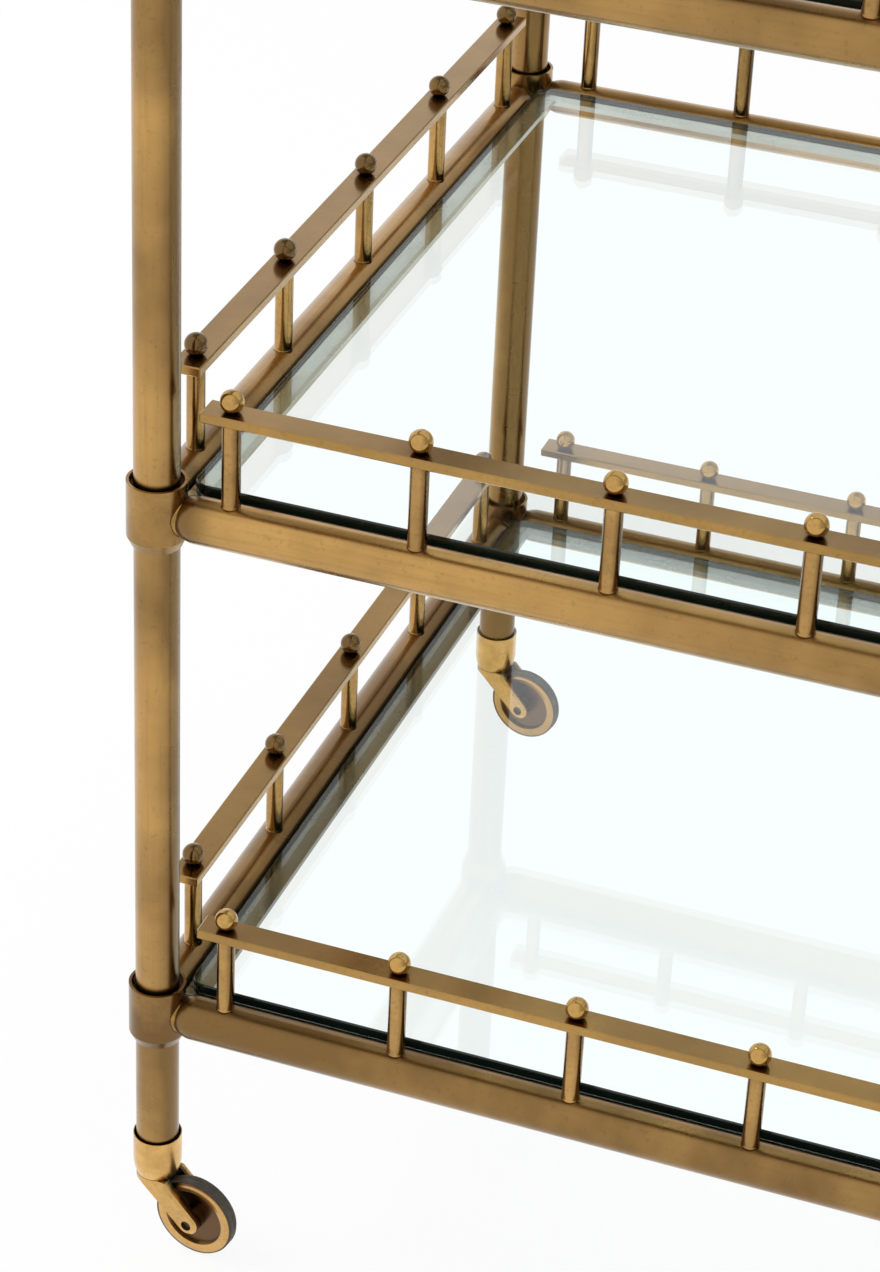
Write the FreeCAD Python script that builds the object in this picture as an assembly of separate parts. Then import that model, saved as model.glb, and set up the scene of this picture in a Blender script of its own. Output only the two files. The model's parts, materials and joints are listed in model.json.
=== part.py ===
import FreeCAD
import Part

import math
import os

from FreeCAD import Vector

# A brass and glass bar cart on four casters.
# Millimetres and degrees, +Z up, origin on the floor under the middle of the cart, front towards -Y.

# Frame
frame_length = 802.0  # between post axes along X
frame_depth = 528.0  # between post axes along Y
bottom_rail_height = 148.0  # floor to the bottom rails' axis
tier_spacing = 289.0  # rail axis to rail axis
post_diameter = 22.0
post_wall = 1.5
post_above_rail = 66.0  # post end above the top rails' axis
rail_diameter = 23.0
rail_wall = 1.5
rail_neck = 3.5  # how far a rail's end comes in where it meets a collar
rail_neck_run = 9.0

# Post caps
cap_overhang = 1.2  # cap rim beyond the post
cap_rim = 4.0
cap_crown = 6.0
cap_flat = 6.5  # radius of the crown's flat
cap_plug = 14.0  # plug inside the post

# Collars that join the rails to the posts
collar_wall = 3.4
collar_margin = 5.5  # collar above and below the rail
collar_rim = 1.4  # wall left round the recess at the top
collar_recess = 5.0
collar_foot = 1.0  # wall left at the tapered lower end
collar_taper = 5.0

# Glass shelves and the ledge strips that carry them
glass_thickness = 6.0
glass_side_gap = 0.3  # glass edge to the rail's flank
glass_corner = 8.0
ledge_bearing = 12.0  # ledge under the glass, at the rear and the ends
front_ledge_bearing = 4.0  # narrower, so that it doesn't show from the front
ledge_thickness = 3.0
ledge_end_gap = 0.5  # end strips to the long ones

# Gallery round each shelf
front_rod_count = 9  # along the front, and as many along the rear
end_rod_count = 5  # along each end
front_rod_inset = 37.0  # post axis to the first rod, front and rear
end_rod_inset = 45.0  # post axis to the first rod, ends
rod_diameter = 9.0
rod_height = 43.7  # rail crown to the bar's underside
bar_width = 15.0
bar_thickness = 5.0
bar_overhang = 13.0  # bar past the end rods
bar_bevel = 0.6
ball_diameter = 11.4
ball_seat = 0.3  # flat worn off the ball where it sits

# Rods and balls repeat by the dozen, so each has few sides
rod_sides = 8
ball_sides = 6
ball_belt = 30.0  # latitude of the ball's two belts
ball_crown = 70.0  # latitude of the ball's top edge

# Casters
wheel_diameter = 45.0
tyre_thickness = 2.5
tyre_shoulder = 0.5
rim_width = 8.6
rim_flange = 0.6  # the tyre stands this far out of the rim's groove
rim_lip = 0.5  # wall beside the groove at its edge
rim_depth = 5.3  # breadth of the rim's ring
rim_bevel = 0.6  # ring's fall on each side of its ridge
rim_slope = 0.8  # how far the rim's inner wall leans
web_thickness = 3.0  # wheel disc inside the rim
hub_diameter = 12.0
axle_diameter = 5.6
axle_recess = 1.8  # axle end below the fork's face
fork_arm = 5.2  # thickness of one arm
fork_side_gap = 1.5  # rim to arm
fork_boss = 5.8  # radius of the arm's lower end
fork_front = 10.0  # arm's top ahead of the kingpin's axis
fork_rear = 5.5  # and behind it
fork_bevel = 1.4
turret_thickness = 3.0
wheel_well_gap = 1.2
kingpin_diameter = 7.0
kingpin_head = 1.5  # head beyond the shank
kingpin_head_thickness = 1.6
swivel_wheel_gap = 2.3  # tyre to the cup and to the kingpin's head
cup_over_axle = 21.5  # cup's foot above the axle
cup_wall = 1.5
cup_height = 24.4
cup_floor = 9.0
cup_taper = 9.0  # rounded part of the cup above its foot
cup_lip = 1.1  # open groove round the post at the cup's mouth
cup_lip_depth = 3.0
front_swivel = -8.0  # how the front casters happen to stand
rear_swivel = -10.4

# Fits
seat_gap = 0.05  # round pieces that are fixed to each other
running_gap = 0.05  # shaft in its bore
swivel_gap = 0.3  # between faces that turn past each other

UP = Vector(0, 0, 1)
ALONG = Vector(1, 0, 0)
ACROSS = Vector(0, 1, 0)
ORIGIN = Vector(0, 0, 0)

half_length = frame_length / 2
half_depth = frame_depth / 2
post_radius = post_diameter / 2
rail_radius = rail_diameter / 2
collar_bore = post_radius + seat_gap
collar_radius = collar_bore + collar_wall
collar_height = rail_diameter + 2 * collar_margin
neck_radius = rail_radius - rail_neck

tier_heights = {
    "bottom": bottom_rail_height,
    "middle": bottom_rail_height + tier_spacing,
    "top": bottom_rail_height + 2 * tier_spacing,
}
corners = {
    "front_left": (-1, -1),
    "front_right": (1, -1),
    "rear_left": (-1, 1),
    "rear_right": (1, 1),
}
rail_ends = {
    "front": ("front_left", "front_right"),
    "rear": ("rear_left", "rear_right"),
    "left": ("front_left", "rear_left"),
    "right": ("front_right", "rear_right"),
}

# Heights above a tier's rail axis
glass_top = rail_radius  # flush with the rails' crowns
glass_bottom = glass_top - glass_thickness
bar_bottom = rail_radius + rod_height
bar_top = bar_bottom + bar_thickness

# Distances inwards from a rail's axis
glass_edge = rail_radius + glass_side_gap
ledge_edge = glass_edge + ledge_bearing
front_ledge_edge = glass_edge + front_ledge_bearing

# Casters, heights above the floor and radii
wheel_radius = wheel_diameter / 2
axle_radius = axle_diameter / 2
fork_inside = rim_width / 2 + fork_side_gap
fork_outside = fork_inside + fork_arm
kingpin_radius = kingpin_diameter / 2
kingpin_head_radius = kingpin_radius + kingpin_head
cup_bottom = wheel_radius + cup_over_axle
cup_seat = cup_bottom + cup_floor
fork_top = cup_bottom - swivel_gap
turret_bottom = fork_top - turret_thickness
kingpin_bottom = turret_bottom - swivel_gap - kingpin_head_thickness
tyre_seat = wheel_radius - tyre_thickness
groove_half = rim_width / 2 - rim_bevel - rim_lip


def trail_to_clear(radius, height):
    """How far the axle trails the kingpin for the tyre to clear a ring round the kingpin's axis."""
    reach = wheel_radius + swivel_wheel_gap
    rise = min(height - wheel_radius, reach)
    return radius + math.sqrt(reach**2 - rise**2)


trail = max(trail_to_clear(kingpin_head_radius, kingpin_bottom), trail_to_clear(fork_outside, cup_bottom))


def post_place(corner):
    """The foot of a post's axis, on the floor."""
    side, end = corners[corner]
    return Vector(side * half_length, end * half_depth, 0)


def turned(outline):
    """A solid turned about Z from a closed outline of (radius, height) points."""
    points = [Vector(radius, 0, height) for radius, height in outline]
    section = Part.Face(Part.makePolygon(points + points[:1]))
    return section.revolve(ORIGIN, UP, 360)


def mirrored_outline(half_outline):
    """Closes a (radius, height) half outline, from the bore outwards, with its image below."""
    return half_outline + [(radius, -height) for radius, height in reversed(half_outline)]


def many_sided(diameter, sides, height):
    """A regular polygon in a level plane, of the stated size across its flats."""
    corner_radius = diameter / 2 / math.cos(math.pi / sides)
    angles = [2 * math.pi * (side + 0.5) / sides for side in range(sides + 1)]
    points = [Vector(math.cos(a) * corner_radius, math.sin(a) * corner_radius, height) for a in angles]
    return Part.makePolygon(points)


def flat_sided(rings):
    """A closed solid with flat sides, through level polygons of as many corners each."""
    faces = [Part.Face(rings[0]), Part.Face(rings[-1])]
    for lower, upper in zip(rings, rings[1:]):
        below = [vertex.Point for vertex in lower.OrderedVertexes]
        above = [vertex.Point for vertex in upper.OrderedVertexes]
        for index in range(len(below)):
            quad = [below[index - 1], below[index], above[index], above[index - 1], below[index - 1]]
            faces.append(Part.Face(Part.makePolygon(quad)))
    solid = Part.Solid(Part.Shell(faces))
    solid.fix(0, 0, 0)
    return solid


def moved(shape, place):
    """A copy of a shape, carried by a vector."""
    copy = shape.copy()
    copy.translate(place)
    return copy


def make_post(corner):
    """A tube from the cup's floor to its end above the top rails."""
    foot = post_place(corner) + UP * cup_seat
    length = tier_heights["top"] + post_above_rail - cup_seat
    outside = Part.makeCylinder(post_radius, length, foot)
    bore = Part.makeCylinder(post_radius - post_wall, length, foot)
    return outside.cut(bore)


def make_post_caps():
    """A low crowned cap on each post, with a plug in the post's bore."""
    plug_radius = post_radius - post_wall - seat_gap
    rim_radius = post_radius + cap_overhang
    cap = turned([
        (0, -cap_plug),
        (plug_radius, -cap_plug),
        (plug_radius, 0),
        (rim_radius, 0),
        (rim_radius, cap_rim),
        (cap_flat, cap_rim + cap_crown),
        (0, cap_rim + cap_crown),
    ])
    post_end = UP * (tier_heights["top"] + post_above_rail)
    return [moved(cap, post_place(corner) + post_end) for corner in corners]


def make_collars(height):
    """A sleeve round each post at one tier, tapered below, with an open recess round the post at its top."""
    recess_radius = collar_radius - collar_rim
    half = collar_height / 2
    collar = turned([
        (collar_bore, -half),
        (collar_bore + collar_foot, -half),
        (collar_radius, -half + collar_taper),
        (collar_radius, half),
        (recess_radius, half),
        (recess_radius, half - collar_recess),
        (collar_bore, half - collar_recess),
    ])
    return [moved(collar, post_place(corner) + UP * height) for corner in corners]


def collar_room(corner, height):
    """The room one collar takes up, with the gap at its seat."""
    foot = post_place(corner) + UP * (height - collar_height / 2)
    return Part.makeCylinder(collar_radius + seat_gap, collar_height, foot)


def rail_room(side, height):
    """The room one rail takes up, with the gap at its seat."""
    from_corner, to_corner = rail_ends[side]
    start = post_place(from_corner) + UP * height
    run = post_place(to_corner) - post_place(from_corner)
    return Part.makeCylinder(rail_radius + seat_gap, run.Length, start, run)


def shoulder_arc(outside, inset, run, foot):
    """An arc in the XZ plane that comes in from a straight side, down to its foot."""
    sweep = (run**2 + inset**2) / (2 * inset)
    half_turn = math.asin(run / sweep) / 2
    bend = Vector(outside - sweep * (1 - math.cos(half_turn)), 0, foot + run - sweep * math.sin(half_turn))
    low, high = Vector(outside - inset, 0, foot), Vector(outside, 0, foot + run)
    return Part.Arc(low, bend, high).toShape()


def turned_below(arc, rest):
    """A solid turned about Z from an arc and the (radius, height) corners that lead back to its foot."""
    points = [arc.Vertexes[1].Point] + [Vector(radius, 0, height) for radius, height in rest]
    outline = Part.Wire([arc] + Part.makePolygon(points + [arc.Vertexes[0].Point]).Edges)
    return Part.Face(outline).revolve(ORIGIN, UP, 360)


def neck_room(place, heading):
    """What a rail's end leaves free round its neck, from the post's axis on."""
    foot = math.sqrt(collar_radius**2 - neck_radius**2)
    arc = shoulder_arc(rail_radius, rail_neck, rail_neck_run, foot)
    room = turned_below(arc, [(rail_diameter, foot + rail_neck_run), (rail_diameter, 0), (neck_radius, 0)])
    room.Placement = FreeCAD.Placement(place, FreeCAD.Rotation(UP, heading))
    return room


def make_rail(side, height):
    """A tube between two posts, drawn in to a neck at its ends, which are shaped to the collars."""
    from_corner, to_corner = rail_ends[side]
    start = post_place(from_corner) + UP * height
    finish = post_place(to_corner) + UP * height
    run = finish - start
    rail = Part.makeCylinder(rail_radius, run.Length, start, run)
    neck = collar_radius + rail_neck_run
    bore_start = start + run * (neck / run.Length)
    rail = rail.cut(Part.makeCylinder(rail_radius - rail_wall, run.Length - 2 * neck, bore_start, run))
    rail = rail.cut(Part.makeCylinder(neck_radius - rail_wall, run.Length, start, run))
    rail = rail.cut(neck_room(start, run)).cut(neck_room(finish, -run))
    for corner in (from_corner, to_corner):
        rail = rail.cut(collar_room(corner, height))
    return rail


def make_long_ledge(side, width, height):
    """A strip on the inner flank of the front or the rear rail, from one end rail to the other."""
    inner = half_depth - width if side == "rear" else -half_depth
    low = height + glass_bottom - ledge_thickness
    strip = Part.makeBox(frame_length, width, ledge_thickness, Vector(-half_length, inner, low))
    for rail in (side, "left", "right"):
        strip = strip.cut(rail_room(rail, height))
    for corner in rail_ends[side]:
        strip = strip.cut(collar_room(corner, height))
    return strip


def make_ledges(height):
    """Strips on the rails' inner flanks, which the glass lies on, the end ones between the long ones."""
    front_end = front_ledge_edge + ledge_end_gap - half_depth
    rear_end = half_depth - ledge_edge - ledge_end_gap
    low = height + glass_bottom - ledge_thickness
    end_strip = Part.makeBox(
        ledge_edge, rear_end - front_end, ledge_thickness, Vector(half_length - ledge_edge, front_end, low))
    end_strip = end_strip.cut(rail_room("right", height)).cut(collar_room("front_right", height))
    return [
        make_long_ledge("front", front_ledge_edge, height),
        make_long_ledge("rear", ledge_edge, height),
        end_strip,
        end_strip.mirror(ORIGIN, ALONG),
    ]


def make_glass(height):
    """A pane inside the rails with rounded corners, lying on the ledge strips."""
    length = frame_length - 2 * glass_edge
    depth = frame_depth - 2 * glass_edge
    place = Vector(-length / 2, -depth / 2, height + glass_bottom)
    pane = Part.makeBox(length, depth, glass_thickness, place)
    uprights = [edge for edge in pane.Edges if edge.BoundBox.ZLength > glass_thickness / 2]
    return pane.makeFillet(glass_corner, uprights)


def spread(span, inset, count):
    """Evenly spaced places along a rail, as distances from its middle."""
    reach = span / 2 - inset
    return [-reach + 2 * reach * index / (count - 1) for index in range(count)]


def rod_places():
    """The middle of each gallery rod's foot, in plan."""
    along = spread(frame_length, front_rod_inset, front_rod_count)
    across = spread(frame_depth, end_rod_inset, end_rod_count)
    long_sides = [Vector(x, end * half_depth, 0) for end in (-1, 1) for x in along]
    short_sides = [Vector(side * half_length, y, 0) for side in (-1, 1) for y in across]
    return long_sides + short_sides


def make_rods(height):
    """Gallery rods that stand on the rails' crowns and carry the bars."""
    foot = many_sided(rod_diameter, rod_sides, height + rail_radius)
    rod = Part.Face(foot).extrude(UP * rod_height)
    return [moved(rod, place) for place in rod_places()]


def make_bars(height):
    """Four flat bars on the rods of one tier."""
    long_bar = frame_length - 2 * (front_rod_inset - bar_overhang)
    short_bar = frame_depth - 2 * (end_rod_inset - bar_overhang)
    level = UP * (height + bar_bottom)
    bars = []
    for length, width, out in (
        (long_bar, bar_width, ACROSS * half_depth),
        (bar_width, short_bar, ALONG * half_length),
    ):
        bar = Part.makeBox(length, width, bar_thickness, Vector(-length / 2, -width / 2, 0))
        bar = bar.makeChamfer(bar_bevel, bar.Edges)
        bars += [moved(bar, level + out), moved(bar, level - out)]
    return bars


def make_balls(height):
    """A ball on the bar over each rod, with a small flat to sit on."""
    radius = ball_diameter / 2
    seat_angle = -math.degrees(math.asin(1 - ball_seat / radius))
    rings = []
    for latitude in (seat_angle, -ball_belt, ball_belt, ball_crown):
        level = radius - ball_seat + radius * math.sin(math.radians(latitude))
        width = ball_diameter * math.cos(math.radians(latitude))
        rings.append(many_sided(width, ball_sides, level))
    ball = flat_sided(rings)
    return [moved(ball, place + UP * (height + bar_top)) for place in rod_places()]


def make_cups():
    """A cup on each post's foot, rounded in to the fork's turret below it."""
    hole = kingpin_radius + seat_gap
    socket = post_radius + seat_gap
    outside = socket + cup_wall
    top = cup_bottom + cup_height
    arc = shoulder_arc(outside, outside - fork_outside, cup_taper, cup_bottom)
    cup = turned_below(arc, [
        (outside, top),
        (socket + cup_lip, top),
        (socket, top - cup_lip_depth),
        (socket, cup_seat),
        (hole, cup_seat),
        (hole, cup_bottom),
    ])
    return [moved(cup, post_place(corner)) for corner in corners]


def make_kingpins():
    """A rivet through each cup's floor, with a head inside the post and one under the turret."""
    kingpin = turned([
        (0, kingpin_bottom),
        (kingpin_head_radius, kingpin_bottom),
        (kingpin_head_radius, kingpin_bottom + kingpin_head_thickness),
        (kingpin_radius, kingpin_bottom + kingpin_head_thickness),
        (kingpin_radius, cup_seat),
        (kingpin_head_radius, cup_seat),
        (kingpin_head_radius, cup_seat + kingpin_head_thickness),
        (0, cup_seat + kingpin_head_thickness),
    ])
    return [moved(kingpin, post_place(corner)) for corner in corners]


def tangent_point(start, centre, radius, side):
    """Where a line from a point outside a circle in the XZ plane touches it, on one side."""
    reach = centre - start
    swing = math.acos(radius / reach.Length)
    heading = math.atan2(-reach.z, -reach.x) + side * swing
    return centre + Vector(math.cos(heading), 0, math.sin(heading)) * radius


def fork_arm_outline():
    """Side view of the fork's arms: broad under the turret, round at the axle."""
    axle = Vector(trail, 0, wheel_radius)
    rear_top = Vector(-fork_rear, 0, fork_top)
    front_top = Vector(fork_front, 0, fork_top)
    rear_corner = Vector(-fork_rear, 0, turret_bottom)
    front_touch = tangent_point(front_top, axle, fork_boss, -1)
    rear_touch = tangent_point(rear_corner, axle, fork_boss, 1)
    lowest = axle + (axle - front_top).normalize() * fork_boss
    edges = [
        Part.makeLine(rear_top, front_top),
        Part.makeLine(front_top, front_touch),
        Part.Arc(front_touch, lowest, rear_touch).toShape(),
        Part.makeLine(rear_touch, rear_corner),
        Part.makeLine(rear_corner, rear_top),
    ]
    return Part.Face(Part.Wire(edges))


def make_fork():
    """A round turret on the kingpin and two bevelled arms, with the wheel between them."""
    arms = fork_arm_outline()
    arms.translate(ACROSS * -fork_outside)
    arms = arms.extrude(ACROSS * (2 * fork_outside))
    face_edges = [edge for edge in arms.Edges if edge.BoundBox.YLength < fork_bevel]
    arms = arms.makeChamfer(fork_bevel, face_edges)
    rear_round = Part.makeCylinder(fork_outside, fork_top)
    ahead = Part.makeBox(trail + wheel_radius, 2 * fork_outside, fork_top, ACROSS * -fork_outside)
    arms = arms.common(rear_round.fuse(ahead))
    slot = Part.makeBox(
        fork_rear + trail + wheel_radius, 2 * fork_inside, fork_top, Vector(-fork_rear, -fork_inside, 0))
    turret = Part.makeCylinder(fork_outside, turret_thickness, UP * turret_bottom)
    fork = arms.cut(slot).fuse(turret).removeSplitter()
    well = Part.makeCylinder(
        wheel_radius + wheel_well_gap, 2 * fork_inside, Vector(trail, -fork_inside, wheel_radius), ACROSS)
    pin_bore = Part.makeCylinder(kingpin_radius + running_gap, fork_top)
    axle_hole = Part.makeCylinder(
        axle_radius + seat_gap, 2 * fork_outside, Vector(trail, -fork_outside, wheel_radius), ACROSS)
    return fork.cut(well).cut(pin_bore).cut(axle_hole)


def on_axle(shape):
    """Lays a piece that was turned about Z along the axle."""
    shape.rotate(ORIGIN, ALONG, 90)
    return moved(shape, Vector(trail, 0, wheel_radius))


def make_axle():
    """A plain pin, its ends a little below the fork's faces."""
    length = 2 * (fork_outside - axle_recess)
    return on_axle(Part.makeCylinder(axle_radius, length, UP * (-length / 2)))


def make_wheel():
    """A wheel with a flat disc sunk inside a ridged rim, grooved for the tyre."""
    flange = wheel_radius - rim_flange
    rim_inside = flange - rim_depth
    rim_face = rim_width / 2
    hub_face = fork_inside - swivel_gap
    return on_axle(turned(mirrored_outline([
        (axle_radius + running_gap, hub_face),
        (hub_diameter / 2, hub_face),
        (hub_diameter / 2, web_thickness / 2),
        (rim_inside - rim_slope, web_thickness / 2),
        (rim_inside, rim_face - rim_bevel),
        (flange - rim_depth / 2, rim_face),
        (flange, rim_face - rim_bevel),
        (flange, groove_half),
        (tyre_seat, groove_half),
    ])))


def make_tyre():
    """A rubber ring with bevelled shoulders."""
    half = groove_half - seat_gap
    return on_axle(turned(mirrored_outline([
        (tyre_seat + seat_gap, half),
        (wheel_radius - tyre_shoulder, half),
        (wheel_radius, half - tyre_shoulder),
    ])))


def stand_caster(shape, corner):
    """Puts a piece of a caster under its post, turned as that caster stands."""
    side, end = corners[corner]
    swivel = front_swivel if end < 0 else rear_swivel
    copy = shape.copy()
    copy.rotate(ORIGIN, UP, swivel if side < 0 else 180 - swivel)
    return moved(copy, post_place(corner))


def all_nodes():
    """Every piece or group of like pieces, by name."""
    nodes = {}
    for corner in corners:
        nodes[f"post_{corner}"] = make_post(corner)
    nodes["post_caps"] = Part.makeCompound(make_post_caps())
    for tier, height in tier_heights.items():
        nodes[f"collars_{tier}"] = Part.makeCompound(make_collars(height))
        for side in rail_ends:
            nodes[f"rail_{side}_{tier}"] = make_rail(side, height)
        nodes[f"ledges_{tier}"] = Part.makeCompound(make_ledges(height))
        nodes[f"glass_{tier}"] = make_glass(height)
        nodes[f"rods_{tier}"] = Part.makeCompound(make_rods(height))
        nodes[f"bars_{tier}"] = Part.makeCompound(make_bars(height))
        nodes[f"balls_{tier}"] = Part.makeCompound(make_balls(height))
    nodes["caster_cups"] = Part.makeCompound(make_cups())
    nodes["kingpins"] = Part.makeCompound(make_kingpins())
    caster = {"fork": make_fork(), "axle": make_axle(), "wheel": make_wheel(), "tyre": make_tyre()}
    for corner in corners:
        for piece, shape in caster.items():
            nodes[f"{piece}_{corner}"] = stand_caster(shape, corner)
    return nodes


os.makedirs("parts", exist_ok=True)
for name, shape in all_nodes().items():
    shape.exportStep(f"parts/{name}.step")
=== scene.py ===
"""Looks of a brass and glass bar cart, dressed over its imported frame."""

import json
import logging
import math
from abc import ABC, abstractmethod
from collections.abc import Iterable, Sequence
from dataclasses import dataclass, field
from enum import Enum

import bmesh
import bpy
from mathutils import Matrix, Vector


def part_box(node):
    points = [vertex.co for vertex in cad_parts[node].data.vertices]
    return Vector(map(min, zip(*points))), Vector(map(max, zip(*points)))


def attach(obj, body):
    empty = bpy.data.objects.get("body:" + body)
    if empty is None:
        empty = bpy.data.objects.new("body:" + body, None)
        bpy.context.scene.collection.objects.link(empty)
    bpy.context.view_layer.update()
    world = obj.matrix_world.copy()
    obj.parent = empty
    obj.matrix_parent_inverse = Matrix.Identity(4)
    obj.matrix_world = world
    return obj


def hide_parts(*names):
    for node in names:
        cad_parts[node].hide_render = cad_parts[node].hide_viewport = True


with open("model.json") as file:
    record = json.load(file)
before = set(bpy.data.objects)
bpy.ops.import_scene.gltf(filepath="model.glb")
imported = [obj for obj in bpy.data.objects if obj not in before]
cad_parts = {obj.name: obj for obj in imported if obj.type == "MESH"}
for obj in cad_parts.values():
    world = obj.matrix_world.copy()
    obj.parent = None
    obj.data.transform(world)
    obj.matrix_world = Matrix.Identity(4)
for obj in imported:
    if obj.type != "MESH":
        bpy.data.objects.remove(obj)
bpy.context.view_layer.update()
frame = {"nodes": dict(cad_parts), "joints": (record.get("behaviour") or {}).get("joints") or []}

log = logging.getLogger("bar_cart")

Tree = bpy.types.NodeTree
Socket = bpy.types.NodeSocket
Material = bpy.types.Material
Mesh = bmesh.types.BMesh

MM = 0.001  # metres in a millimetre
LONG_RAIL_END_MM = 386.0  # from the cart's middle to where a rail meets its collar
SHORT_RAIL_END_MM = 249.0


class Tier(Enum):
    """The cart's shelves, from the floor up."""

    BOTTOM = "bottom"
    MIDDLE = "middle"
    TOP = "top"


class Side(Enum):
    """The four sides of a tier."""

    FRONT = "front"
    REAR = "rear"
    LEFT = "left"
    RIGHT = "right"


class Corner(Enum):
    """The four posts, each with its caster."""

    FRONT_LEFT = "front_left"
    FRONT_RIGHT = "front_right"
    REAR_LEFT = "rear_left"
    REAR_RIGHT = "rear_right"


def linear(hex_colour: str) -> tuple[float, float, float, float]:
    """Turns an sRGB hex colour to linear values.

    Args:
        hex_colour: six hex digits after a hash sign.

    Returns:
        Linear red, green and blue, and an alpha of one.
    """
    shares = [int(hex_colour[place : place + 2], 16) / 255 for place in (1, 3, 5)]
    values = [s / 12.92 if s <= 0.04045 else ((s + 0.055) / 1.055) ** 2.4 for s in shares]
    return values[0], values[1], values[2], 1.0


def add_node(
    tree: Tree,
    kind: str,
    settings: dict[str, object] | None = None,
    inputs: dict[str | int, object] | None = None,
) -> bpy.types.Node:
    """Adds a node with its settings, and sets or links its inputs.

    Args:
        tree: the node tree that takes it.
        kind: the node's type name.
        settings: attributes of the node itself.
        inputs: a value, or a socket to link from, for each input by name or number.

    Returns:
        The new node.
    """
    node = tree.nodes.new(kind)
    for name, value in (settings or {}).items():
        setattr(node, name, value)
    for name, value in (inputs or {}).items():
        if isinstance(value, Socket):
            tree.links.new(value, node.inputs[name])
        else:
            node.inputs[name].default_value = value
    return node


def per_metre(size_mm: float) -> float:
    """The pattern scale that makes one feature as large as a size in millimetres."""
    return 1.0 / (size_mm * MM)


def empty_material(name: str) -> tuple[Material, Tree]:
    """Makes a material with nothing in its tree.

    Args:
        name: the material's name.

    Returns:
        The material and its node tree.
    """
    material = bpy.data.materials.new(name)
    material.use_nodes = True
    material.node_tree.nodes.clear()
    return material, material.node_tree


class Grain(Enum):
    """Which way a piece was drawn or polished, as the pattern's scale along X, Y and Z."""

    ALONG_X = (0.04, 1.0, 1.0)
    ALONG_Y = (1.0, 0.04, 1.0)
    ALONG_Z = (1.0, 1.0, 0.04)
    NONE = (1.0, 1.0, 1.0)


class BrownMask(ABC):
    """Where a piece is browned most, beyond its clouds; most kinds are painted shade."""

    @abstractmethod
    def share(self, tree: Tree, place: Socket) -> Socket:
        """Works out how brown each point is, beyond the clouds.

        Args:
            tree: the material's tree.
            place: the point, in metres.

        Returns:
            A share from zero to one.
        """


@dataclass(frozen=True)
class PostShade(BrownMask):
    """Painted shade below each collar, and on the side that faces the middle of the cart."""

    tier_mm: float = 289.0
    collar_top_mm: float = 165.0
    below: tuple[float, float] = (0.58, 0.78)  # way up to the next collar where the brown starts and is full
    below_share: float = 0.45
    inward: tuple[float, float] = (-0.7, 0.9)  # cosines to the middle where the brown starts and is full
    inward_share: float = 0.85
    to_middle: tuple[float, float, float] = (-0.707, -0.707, 0.0)  # from the post where X and Y are positive

    def share(self, tree: Tree, place: Socket) -> Socket:
        """Adds the brown below the collars to that of the inner side, as Tarnish says."""
        parts = add_node(tree, "ShaderNodeSeparateXYZ", inputs={"Vector": place})
        tiers = add_node(tree, "ShaderNodeMath", {"operation": "MULTIPLY_ADD"}, {
            0: parts.outputs["Z"], 1: per_metre(self.tier_mm), 2: -self.collar_top_mm / self.tier_mm})
        way_up = add_node(tree, "ShaderNodeMath", {"operation": "FRACT"}, {0: tiers.outputs["Value"]})
        below = add_node(tree, "ShaderNodeMapRange", {"interpolation_type": "SMOOTHSTEP"}, {
            "Value": way_up.outputs["Value"], "From Min": self.below[0], "From Max": self.below[1],
            "To Max": self.below_share})
        quarter = add_node(tree, "ShaderNodeVectorMath", {"operation": "SIGN"}, {0: place})
        middle = add_node(tree, "ShaderNodeVectorMath", {"operation": "MULTIPLY"}, {
            0: quarter.outputs["Vector"], 1: self.to_middle})
        facing = add_node(tree, "ShaderNodeNewGeometry").outputs["Normal"]
        cosine = add_node(tree, "ShaderNodeVectorMath", {"operation": "DOT_PRODUCT"}, {
            0: middle.outputs["Vector"], 1: facing})
        inward = add_node(tree, "ShaderNodeMapRange", {"interpolation_type": "SMOOTHSTEP"}, {
            "Value": cosine.outputs["Value"], "From Min": self.inward[0], "From Max": self.inward[1],
            "To Max": self.inward_share})
        both = add_node(tree, "ShaderNodeMath", {"operation": "ADD"}, {
            0: below.outputs["Result"], 1: inward.outputs["Result"]})
        return both.outputs["Value"]


@dataclass(frozen=True)
class RailEndShade(BrownMask):
    """Painted shade at a rail's ends, beside the collars."""

    axis: str
    end_mm: float  # from the cart's middle
    shade_mm: float = 22.0

    def share(self, tree: Tree, place: Socket) -> Socket:
        """Fades the brown out from each end, as Tarnish says."""
        parts = add_node(tree, "ShaderNodeSeparateXYZ", inputs={"Vector": place})
        out = add_node(tree, "ShaderNodeMath", {"operation": "ABSOLUTE"}, {0: parts.outputs[self.axis]})
        brown = add_node(tree, "ShaderNodeMapRange", {"interpolation_type": "SMOOTHSTEP"}, {
            "Value": out.outputs["Value"], "From Min": (self.end_mm - self.shade_mm) * MM,
            "From Max": self.end_mm * MM})
        return brown.outputs["Result"]


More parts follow.
